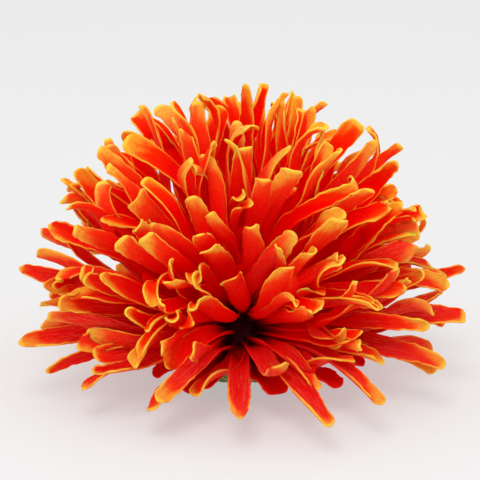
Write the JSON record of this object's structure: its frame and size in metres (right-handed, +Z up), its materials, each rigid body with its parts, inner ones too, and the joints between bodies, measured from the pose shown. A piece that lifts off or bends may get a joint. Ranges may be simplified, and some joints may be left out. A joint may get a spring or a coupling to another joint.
{
  "type": "chrysanthemum flower",
  "caption": "Picked chrysanthemum bloom: a dome of long red strap florets with yellow margins and tips, over a green cup of bracts cut off flush.",
  "frame": {"origin": "centre of the flat cut face beneath the bloom, on the surface that it rests on", "axes": "+Z up through the bloom's crown; -Y faces the viewer, on the side where the florets part"},
  "size_m": [0.1217, 0.1159, 0.0796],
  "materials": {
    "floret": "matte, softly sheened, saturated red that turns orange and then yellow at the tip and along the margins",
    "bract": "matte mid green with paler, drier margins"
  },
  "bodies": {
    "root": {"ray_florets": "floret", "involucre": "bract"}
  },
  "joints": []
}
